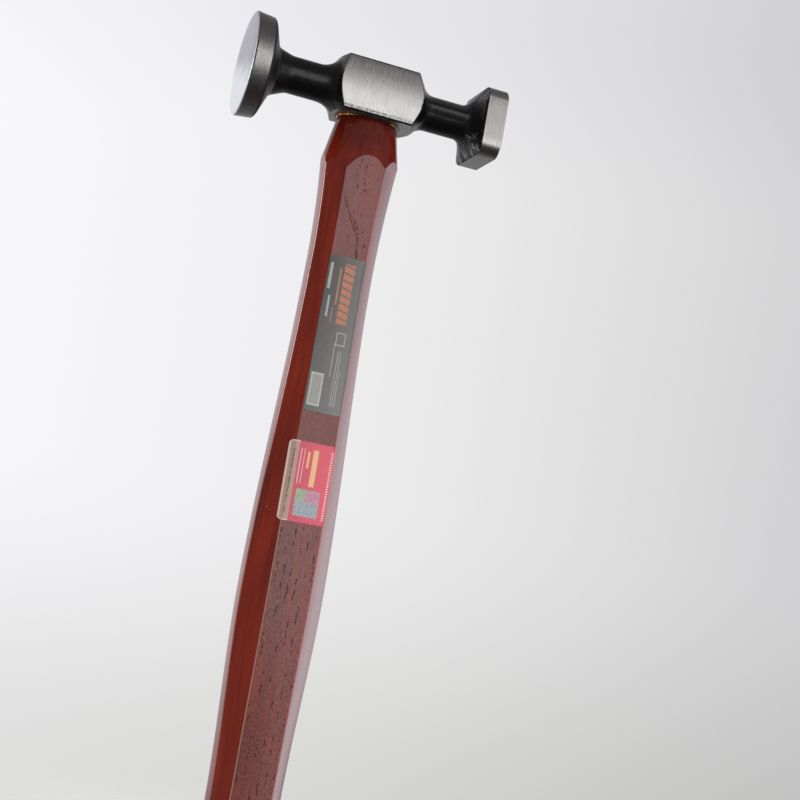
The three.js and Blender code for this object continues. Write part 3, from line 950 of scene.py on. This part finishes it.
def ground_cheek():
    """Cheeks, top and underside: ground along the handle, slightly domed, with a chipped edge and
    painted shade.
    """
    finish = Finish("ground_cheek", metallic=1)
    x, y, z = finish.parts(finish.place)
    lines = finish.grain((3.4, 3.4, 0.2), 4, 0.7)
    fine = finish.grain((9, 9, 0.5), 2, 0.6)
    cloud = finish.grain(0.22, 3)
    shade = lines * 1.3 + fine * 0.8 + cloud * 0.3 - 0.7
    on_cheek = y.ramp(0.4 - HALF_BLOCK, 0.1 - HALF_BLOCK)
    from_edge = finish.node("Attribute", {"attribute_name": EDGE_LAYER}, output=2)
    crumbs = finish.grain((1.5, 1.5, 2), 3, 0.7)
    chips = (from_edge - crumbs * 0.9 - on_cheek * 0.06).ramp(-0.36, -0.26, 1, 0)
    notch = x.band(16.6, 17, 18.4, 18.6) * z.band(-2.6, -1.6, -0.6, 0.2)
    notch = notch * from_edge.ramp(0.3, 0.5, 1, 0)
    bits = finish.grain((2.6, 2.6, 3.2), 2, 0.6)
    row = z.band(-9.25, -8.95, -8.35, -7.9) * bits.ramp(0.44, 0.54) * on_cheek
    # Painted shade: the underside round the eye's mouth, by the handle, is darkened towards the
    # lacquer's black
    from_eye = finish.length(finish.stretched((1 / EYE_SHADE[0], 1 / EYE_SHADE[1], 0)))
    eye_shade = z.ramp(-9.7, -9.85) * y.ramp(0.05 - HALF_BLOCK, 0.15 - HALF_BLOCK)
    eye_shade = eye_shade * from_eye.ramp(1, 1.1, 1, 0)
    dark = chips.most(row * 0.8).most(notch * on_cheek).most(eye_shade * 0.92)
    # Painted shade across the upper part of the cheek, and a little all over
    shadow = z.ramp(-4, 3) * z.ramp(6, 9, 1, 0) * 0.15 + 0.05
    steel = finish.mix(shadow, finish.mix(shade, STEEL_DARK, STEEL_PALE), STEEL_SHADOW)
    finish.paint(dark, steel, LACQUER)
    finish.set("Roughness", lines.ramp(0.3, 0.7, 0.22, 0.32))
    finish.set("Metallic", 1 - dark)
    finish.bump(z * z * (-1 / CHEEK_DOME) + lines * 0.06 + fine * 0.02)
    return finish.material


def satin_face():
    """The round striking face, with a painted reflection: greyer at its top, paler below, darker by
    its front edge.
    """
    finish = Finish("satin_face", metallic=1, roughness=0.28)
    _, y, z = finish.parts(finish.place)
    cloud = finish.grain(0.16, 3)
    grain = finish.grain((1, 2.2, 1.1), 3, 0.7)
    # Painted reflection: the face is paler towards its bottom, with a painted darker patch by its
    # front edge
    painted_sheen = (z * -1 + cloud * 9 + y * 0.3).ramp(0.5, 14)
    front_edge_shade = y.ramp(-5, -14) * z.band(-6, -1, 6, 14) * 0.16
    shade = painted_sheen - front_edge_shade + (grain - 0.5) * painted_sheen * 0.5
    finish.paint(shade, (0.22, 0.22, 0.245), (0.64, 0.655, 0.68))
    finish.bump(grain, 0.012)
    return finish.material


def ground_rim():
    """Rim of the round face, ground askew and speckled."""
    finish = Finish("ground_rim", metallic=1, roughness=0.36)
    speckle = finish.grain(2.4, 3, 0.8)
    lines = finish.grain((1.4, 5, 5), 3, 0.7, 0.4)
    shade = speckle * 2.2 + lines * 1.3 - 1.25
    finish.paint(shade, (0.1, 0.097, 0.093), (0.42, 0.402, 0.38))
    finish.bump(speckle * 0.6 + lines * 0.5, 0.05)
    return finish.material


def ground_square():
    """Rim of the square face, ground along the handle and slightly domed, with painted shade across
    its front.
    """
    finish = Finish("ground_square", metallic=1, roughness=0.33)
    _, y, z = finish.parts(finish.place)
    lines = finish.grain((3, 3, 0.3), 4, 0.7)
    spots = finish.spots(0.32, 0.16, 0.12)
    # Painted shade across the middle of the front, and a little all round
    painted_rim_shade = z.band(-9.5, -6, -1, 8) * y.ramp(-10, -13) * 0.5 + 0.06
    shade = finish.mix(lines * 1.8 - 0.4, (0.25, 0.235, 0.225), (0.5, 0.475, 0.455))
    shade = finish.mix(painted_rim_shade, shade, (0.17, 0.16, 0.15))
    finish.paint(spots * 0.5, shade, (0.16, 0.15, 0.14))
    finish.bump(z * z * (-1 / SQUARE_DOME) + lines * 0.04)
    return finish.material


def black_lacquer(name, shine):
    """Thick black lacquer, brushed on: streaks run out over the back of the square end."""
    finish = Finish(name, specular_ior_level=shine)
    x, y, z = finish.parts(finish.place)
    peel = finish.grain(0.55, 2)
    out = finish.length(finish.stretched((0, 1, 1)))
    fan = finish.join(y.angle(z) * 13, out * 0.2, x * 0.2)
    streaks = finish.noise(fan, 1, 4, 0.7, 0.5)
    on_back = x.ramp(38.3, 40)
    low = on_back * z.ramp(-3.5, -7.5)
    high = on_back * z.ramp(5, 9)
    rubbed_and_sheen = streaks.ramp(0.53, 0.59) * low * 0.42 + streaks.ramp(0.52, 0.66) * high * 0.26
    finish.paint(rubbed_and_sheen, LACQUER, (0.36, 0.36, 0.39))
    lumps = finish.grain(1.2, 1, 0.4, 1.2).ramp(0.5, 0.6)
    near_foot = z.ramp(-4, -7) * x.band(-19, -17, -13.5, -12.8) * y.ramp(0, -4)
    runs = near_foot + low * z.ramp(-9, -6) * y.ramp(-4, -9)
    disc_back = x.ramp(-38.5, -40)
    finish.set("Roughness", 0.25 + disc_back * 0.25 + on_back * 0.12 - runs * 0.18)
    ridge = z.band(-2, 2.6, 2.6, 6) * x.band(17, 22, 36, 40)
    finish.bump(peel * 0.1 + lumps * runs * 0.3 + streaks * on_back * 0.06 + ridge * 1.1)
    return finish.material


def open_pores(finish, x, y, z):
    """Dark pores in broken rows along the grain, more of them low down."""
    wander = finish.grain((0, 0, 0.05), 3, 0.7)
    across = x * (1 / PORE_SPACING) + wander * 1.6 + 0.3
    row = across.floor()
    from_row = (across - row - 0.5).size() * PORE_SPACING
    dashes = finish.noise(finish.join(row * 3.7, y * 0.02, z * 0.3), 1, 3, 0.7)
    more = z.ramp(-120, -185) * 0.085
    return from_row.ramp(0.1, 0.3, 1, 0) * (dashes + more).ramp(0.63, 0.68)


def long_flaw(finish, x, z):
    """The crack that runs down under the cone, bent to the left and torn open halfway."""
    scratches = finish.grain((2.8, 2.8, 0.55), 3, 0.7)
    path = z.ramp(-40, -60, -6.4, 2.2) + z.ramp(-60, -67, 0, 0.9)
    reach = z.band(-57, -54, -51, -48) + 0.42
    near = ((x - path).size() / reach).ramp(0.5, 1, 1, 0)
    return near * scratches.ramp(0.5, 0.57) * z.band(-67, -66, -43, -40.5)


def red_lacquered_wood():
    """Stained wood under clear lacquer: pores, a crack, pocks, dust, wrinkles, painted shadow and
    highlights.
    """
    finish = Finish("red_lacquered_wood", specular_ior_level=0.5)
    x, y, z = finish.parts(finish.place)
    facing = finish.parts(finish.node("TexCoord", output=1))[1].size()
    on_flats = facing.ramp(0.84, 0.95)
    in_front = y.ramp(0, -1)
    grain = finish.grain((0.8, 0.8, 0.025), 4, 0.6, 0.3)
    clouds = finish.grain((0.16, 0.16, 0.03), 2)
    pits = finish.grain((1.3, 1.3, 0.8), 2, 0.6)
    pocks = z.band(-42, -38, -31, -27) * x.band(-3.4, -2.2, 2, 3.4) * pits.ramp(0.61, 0.67)
    marks = open_pores(finish, x, y, z).most(long_flaw(finish, x, z) * in_front)
    marks = marks.most(pocks * in_front) * on_flats
    wood = finish.mix(grain * 1.5 + clouds * 1.1 - 0.8, WOOD_DARK, WOOD_RED)
    # Painted shadow of the head over the top of the cone, deeper on the left
    head_shadow = z.ramp(-29, -16) * x.ramp(9, -8, 0.12, 0.5)
    wood = finish.mix(head_shadow, wood, (0.02, 0.0016, 0.001))
    wood = finish.mix(on_flats * 0.14, wood, (0.03, 0.01, 0.01))
    wood = finish.mix(marks * 0.9 - pocks * 0.35, wood, (0.016, 0.0045, 0.0035))
    # Painted highlights: a bright red line along the front flat's right edge, and a pale line along
    # its left edge low down
    edge = facing.band(0.8, 0.86, 0.94, 0.985) * in_front * z.ramp(-28, -34)
    wood = finish.mix(edge * x.ramp(0, 1) * 0.7, wood, (0.42, 0.03, 0.02))
    rubbed_and_sheen = edge * x.ramp(0, -1) * z.ramp(-150, -170)
    wood = finish.mix(rubbed_and_sheen * 0.8, wood, (0.36, 0.2, 0.17))
    dust = finish.spots(0.55, 0.12, 0.16)
    finish.paint(dust * 0.4, wood, (0.5, 0.3, 0.24))
    sand = finish.grain((3, 3, 1.6), 2, 0.6).ramp(0.42, 0.75)
    rough = z.ramp(-110, -190, 0.4, 1).most(z.band(-64, -50, -38, -26) * 0.8)
    peel = finish.grain(0.9, 2)
    nib = finish.vector("DISTANCE", finish.place, NIB_PLACE, output=1).ramp(0.2, 0.55, 1, 0)
    finish.set("Roughness", 0.08 + on_flats * 0.1 + marks * 0.4)
    wrinkles = finish.grain((2.4, 2.4, 0.5), 3, 0.7, 0.6)
    finish.set("Coat Weight", on_flats * wrinkles.ramp(0.4, 0.62) * (rough * 0.38 + 0.03))
    finish.bump(grain * 0.02 + peel * (0.015 + on_flats * 0.03) + on_flats * rough * sand * 0.025
                + on_flats * wrinkles * (rough * 0.05 + 0.02) - marks * 0.14 + dust * 0.08
                + nib * 0.25)
    return finish.material


def sawn_wood(name, dark, pale):
    """Sawn end of the wood, with rings across it and open pores."""
    finish = Finish(name, roughness=0.6)
    rings = finish.grain((0.25, 1.6, 0.06), 4, 0.6, 0.4)
    pores = finish.grain((2.6, 2.6, 0.2), 1)
    shade = rings.ramp(0.3, 0.7) - pores.ramp(0.58, 0.68) * 0.6
    finish.paint(shade, dark, pale)
    finish.bump(pores * -0.8 + rings * 0.5, 0.12)
    return finish.material


def hammered_steel():
    """Mild steel of the wedges, dented by the hammer that drove them and a little rusty."""
    finish = Finish("hammered_steel", metallic=1, roughness=0.42)
    dents = finish.grain(0.9, 2)
    rust = finish.grain(2.2, 3, 0.7).ramp(0.45, 0.7)
    finish.paint(rust, (0.44, 0.43, 0.42), (0.2, 0.14, 0.1))
    finish.bump(dents, 0.25)
    return finish.material


def grey_film():
    """Smoky film with plain printed areas: a warm bar, pale lines and a pale empty box."""
    finish = FilmFinish("grey_film", GREY_LABEL, roughness=0.22)
    mottle = finish.grain(0.45, 4, 0.6)
    fade = finish.up.ramp(0, 60, 0.3, 0) + finish.across.ramp(-11, 11) * 0.66
    base = finish.mix(mottle * 0.3 + fade - 0.2, (0.024, 0.022, 0.018), (0.185, 0.176, 0.165))
    bar = finish.inked(GREY_BLOCKS) * finish.ripple(0.25, 2.2).ramp(-0.8, -0.65, 0.12, 1)
    ink = finish.grain(2.2, 2, 0.6)
    warm = (bar + finish.inked(GREY_WARM_LINES)).least(1) * ink.ramp(0.2, 0.4, 0.75, 0.95)
    printed = finish.mix(warm, base, (0.43, 0.15, 0.075))
    box = finish.inked(GREY_BOX, 0.2) - finish.inked(GREY_BOX_MIDDLE, 0.2) * 0.45
    frame_lines = finish.inked(GREY_FRAME) - finish.inked(GREY_FRAME_MIDDLE)
    pale = (finish.inked(GREY_PALE_LINES) * 0.75 + box + frame_lines * 0.7).least(1).most(0)
    pale = pale * ink.ramp(0.25, 0.5, 0.5, 0.85)
    finish.paint(pale, printed, (0.5, 0.5, 0.47))
    finish.bump(mottle * 0.12 + finish.grain(3, 2) * 0.015)
    return finish.material


def red_film():
    """Red film with a pale folded strip, plain gold bars and a soft-tinted foil panel."""
    finish = FilmFinish("red_film", RED_LABEL, roughness=0.2)
    across, up = finish.across, finish.up
    mottle = finish.grain(0.9, 3)
    red = finish.mix(mottle * 0.4 + across.ramp(-9, 6) * 0.6, (0.42, 0.045, 0.08),
                     (0.72, 0.085, 0.13))
    gold = finish.inked(RED_GOLD_BARS).least(1) * 0.85
    printed = finish.mix(gold, red, (0.8, 0.5, 0.24))
    ticks = finish.inked(RED_TICKS) * finish.ripple(0, 7).ramp(-0.3, 0.1) * 1.5
    pale = ((ticks + finish.inked(RED_PALE_LINES)) * 0.6).least(1)
    printed = finish.mix(pale, printed, (0.9, 0.6, 0.56))
    ripples = finish.ripple(0.35, 7).ramp(-0.4, 0.6) * finish.grain(1.4, 2).ramp(0.4, 0.55)
    foil = finish.mix((across + finish.grain(0.35, 1) * 4).ramp(-1.5, 3),
                      (0.21, 0.34, 0.2), (0.46, 0.15, 0.25))
    foil = finish.mix(up.ramp(6.4, 8.6, 1, 0), foil, (0.24, 0.29, 0.34))
    foil = finish.mix(ripples * 0.45, foil, (0.62, 0.6, 0.55))
    printed = finish.mix(finish.inked(RED_FOIL), printed, foil)
    dashes = finish.inked(STRIP_DASHES) * finish.grain((1, 1, 1.4), 1).ramp(0.4, 0.5)
    on_strip = across.ramp(STRIP_EDGE - 0.1, STRIP_EDGE + 0.1, 1, 0)
    strip = finish.mix(dashes * 0.8, (0.38, 0.24, 0.18), (0.06, 0.045, 0.04))
    printed = finish.mix(on_strip, printed, strip)
    border = finish.mix(on_strip, (0.56, 0.05, 0.12), (0.6, 0.55, 0.52))
    at_border = (1 - finish.inked(RED_INSIDE)) * 0.7
    finish.paint(at_border, printed, border)
    finish.bump(mottle * 0.05)
    return finish.material


def amber_resin():
    """Clear amber resin, darker at the front where it lies in the head's shadow."""
    finish = Finish("amber_resin", roughness=0.08, specular_ior_level=0.6)
    thick = finish.grain(0.8, 2)
    amber = finish.mix(thick.ramp(0.35, 0.65), (0.36, 0.1, 0.015), (0.95, 0.58, 0.18))
    shaded = finish.parts(finish.place)[1].ramp(-6, -7.1)
    finish.paint(shaded * 0.93, amber, (0.06, 0.012, 0.008))
    finish.bump(thick, 0.2)
    return finish.material


def note_edges(head):
    """Keeps each ground vertex's distance to the lacquer, for the chipped edge."""
    faces = head.data.polygons
    ground = {v for f in faces if f.material_index == GROUND for v in f.vertices}
    other = {v for f in faces if f.material_index != GROUND for v in f.vertices}
    border = [head.data.vertices[v].co for v in ground & other]
    tree = kdtree.KDTree(len(border))
    for index, place in enumerate(border):
        tree.insert(place, index)
    tree.balance()
    layer = head.data.attributes.new(EDGE_LAYER, "FLOAT", "POINT")
    for vertex in head.data.vertices:
        distance = tree.find(vertex.co)[2] / MILLIMETRE if vertex.index in ground else 0
        layer.data[vertex.index].value = min(distance, 1)


def is_ground(place, normal):
    """Whether a face of the head lies on one of the block's four ground flats."""
    if not in_block(place):
        return False
    return (abs(abs(place.y) - HALF_BLOCK) < GROUND_MARGIN and abs(normal.y) > FACING
            or abs(place.z - BLOCK_TOP) < GROUND_MARGIN and normal.z > FACING
            or abs(place.z - BLOCK_UNDERSIDE) < GROUND_MARGIN and normal.z < -FACING)


def paint_head(head):
    """Gives the ground faces their steel and leaves the rest in black lacquer."""
    for material in (black_lacquer("black_lacquer", 0.34), satin_face(), ground_rim(),
                     ground_cheek(), ground_square(), black_lacquer("brushed_lacquer", 0.12)):
        head.data.materials.append(material)
    axis = Vector((0, 0, AXIS_HEIGHT))
    for face in head.data.polygons:
        place = face.center / MILLIMETRE - axis
        if place.x < ROUND_CROWN + ROUND_BEVEL * 0.8 - ROUND_REACH:
            face.material_index = ROUND_FACE
        elif place.x < ROUND_RIM - ROUND_REACH:
            face.material_index = RIM
        elif place.x > SQUARE_BACK_REACH + SQUARE_BACK_EDGE * 0.6:
            face.material_index = SQUARE
        elif is_ground(place, face.normal):
            face.material_index = GROUND
        elif place.x > SQUARE_BACK_REACH - SQUARE_BRUSHED_LENGTH:
            face.material_index = BRUSHED
    note_edges(head)


def paint_handle(handle):
    """Lacquers the handle and leaves the tenon's end bare."""
    sawn = sawn_wood("sawn_tenon", (0.13, 0.05, 0.028), (0.34, 0.17, 0.1))
    for material in (red_lacquered_wood(), sawn):
        handle.data.materials.append(material)
    top = (AXIS_HEIGHT + BLOCK_TOP - SAWN_DEPTH) * MILLIMETRE
    for face in handle.data.polygons:
        face.material_index = int(face.center.z > top)


# Surroundings

def make_lamp():
    """Square lamp that looks at the middle of the hammer and that reflections don't show."""
    data = bpy.data.lights.new("key_lamp", "AREA")
    data.size = LAMP_SIZE
    data.energy = LAMP_RADIANCE * math.pi * LAMP_SIZE ** 2
    lamp = bpy.data.objects.new("key_lamp", data)
    direction = Vector(LAMP_DIRECTION).normalized()
    lamp.location = Vector(LAMP_AIM) + direction * LAMP_DISTANCE
    lamp.rotation_mode = "QUATERNION"
    lamp.rotation_quaternion = direction.to_track_quat("Z", "Y")
    lamp.visible_camera = False
    lamp.visible_glossy = False
    bpy.context.scene.collection.objects.link(lamp)


def backdrop_colours(room, x, y, rise):
    """Backdrop, brighter on the left, and the same as the camera sees it, paler in its middle."""
    across = x * 0.944 - y * 0.33
    backdrop = room.mix(across.ramp(-0.42, 0.1), (0.95, 0.945, 0.985), (0.815, 0.815, 0.82))
    backdrop = room.mix(across.ramp(-0.06, 0.42), backdrop, (0.59, 0.585, 0.6))
    level = room.mix(rise.ramp(-11, 3), (0.8, 0.8, 0.77), (1, 1, 1))
    level = room.mix(rise.ramp(15, 23), level, (0.93, 0.93, 0.95))
    seen = room.node("Mix", {"data_type": "RGBA", "blend_type": "MULTIPLY"},
                     {0: 1, 6: backdrop, 7: level}, output=2)
    return backdrop, seen


def mirrored_room(room, y, turn, rise, backdrop):
    """What reflections see: the backdrop behind the hammer only, and a dark room with soft
    panels of light in front of it, to its right and behind it on the left."""
    front = (turn.band(-30, -4, 34, 64) * (rise + turn.ramp(12, 22, 0, 8)).ramp(-12, -2)
             * rise.ramp(14, 36, 1, 0) * 2.1)
    right = turn.band(70, 84, 118, 134) * rise.band(-26, -12, 18, 28)
    strip = turn.band(-131, -126, -117, -110) * rise.band(4, 10, 20, 26) * 11
    behind = rise.ramp(-14, -3, 0.2, 1) * rise.ramp(22, 52, 1, 0.1) * y.ramp(0.25, 0.5)
    dim = rise.ramp(-50, -18, 0.045, 0.19)
    glow = room.mix(behind, room.join(dim, dim, dim), backdrop)
    panels = room.vector("ADD", room.scaled((1, 1, 1), front + strip),
                         room.scaled((1.8, 1.82, 2), right))
    return room.vector("ADD", glow, panels)


def make_world():
    """Pale backdrop for the camera, a room with panels for reflections, soft light for the rest."""
    world = bpy.data.worlds.new("studio")
    bpy.context.scene.world = world
    world.use_nodes = True
    world.node_tree.nodes.clear()
    room = Nodes(world.node_tree)
    x, y, z = room.parts(room.node("TexCoord"))
    turn = x.angle(y * -1) * math.degrees(1)
    rise = z.math("ARCSINE", z) * math.degrees(1)
    backdrop, seen = backdrop_colours(room, x, y, rise)
    mirrored = mirrored_room(room, y, turn, rise, backdrop)
    fill = (x.ramp(-0.9, 0.8, 1.0, 0.5) * z.ramp(-0.8, 0.8, 0.7, 1)
            + x.ramp(-0.2, -0.9) * y.ramp(0, 0.6) * 2.4)
    path = room.node("LightPath").socket.node
    camera_ray, glass_ray, glossy_ray = [Value(room, path.outputs[name]) for name in (
        "Is Camera Ray", "Is Transmission Ray", "Is Glossy Ray")]
    colour = room.mix(glossy_ray, room.join(fill, fill, fill), mirrored)
    colour = room.mix(camera_ray.most(glass_ray), colour, seen)
    surface = room.node("Background", sockets={"Color": colour})
    output = world.node_tree.nodes.new("ShaderNodeOutputWorld")
    world.node_tree.links.new(surface.socket, output.inputs["Surface"])


def make_floor():
    """Pale floor that keeps the hammer's shadow and fades out into the backdrop."""
    bpy.ops.mesh.primitive_circle_add(vertices=FLOOR_POINTS, radius=FLOOR_RADIUS,
                                      fill_type="NGON")
    floor = bpy.context.active_object
    floor.name = "floor"
    material = bpy.data.materials.new("pale_floor")
    material.use_nodes = True
    nodes = Nodes(material.node_tree)
    shader = material.node_tree.nodes["Principled BSDF"]
    nodes.plug(shader.inputs["Base Color"], (0.8, 0.8, 0.8))
    nodes.plug(shader.inputs["Roughness"], 0.9)
    distance = nodes.length(nodes.node("TexCoord", output=3))
    nodes.plug(shader.inputs["Alpha"], distance.ramp(*FLOOR_FADE, 1, 0))
    floor.data.materials.append(material)
    floor.visible_glossy = False


make_camera()
bpy.context.scene.view_settings.view_transform = "Standard"

head = make_head()
handle = make_handle()
grey = make_label("grey_label_film", handle, **GREY_LABEL)
red = make_label("red_label_film", handle, **RED_LABEL)
bead = make_bead()
wooden_wedge = make_wooden_wedge()
steel_wedges = [make_steel_wedge(index, place) for index, place in enumerate(steel_places(), 1)]

finish_piece(head, "hammer_head", 20)
finish_piece(handle, "handle", 10.5)
finish_piece(grey, "grey_label", 30, grey_film())
finish_piece(red, "red_label", 30, red_film())
finish_piece(bead, "resin_bead", 60, amber_resin())
sawn_wedge = sawn_wood("sawn_wedge", (0.4, 0.26, 0.14), (0.68, 0.5, 0.31))
finish_piece(wooden_wedge, "wooden_wedge", 30, sawn_wedge)
wedge_steel = hammered_steel()
for index, wedge in enumerate(steel_wedges, 1):
    finish_piece(wedge, f"steel_wedge_{index}", 30, wedge_steel)

paint_head(head)
paint_handle(handle)

make_world()
make_floor()
make_lamp()
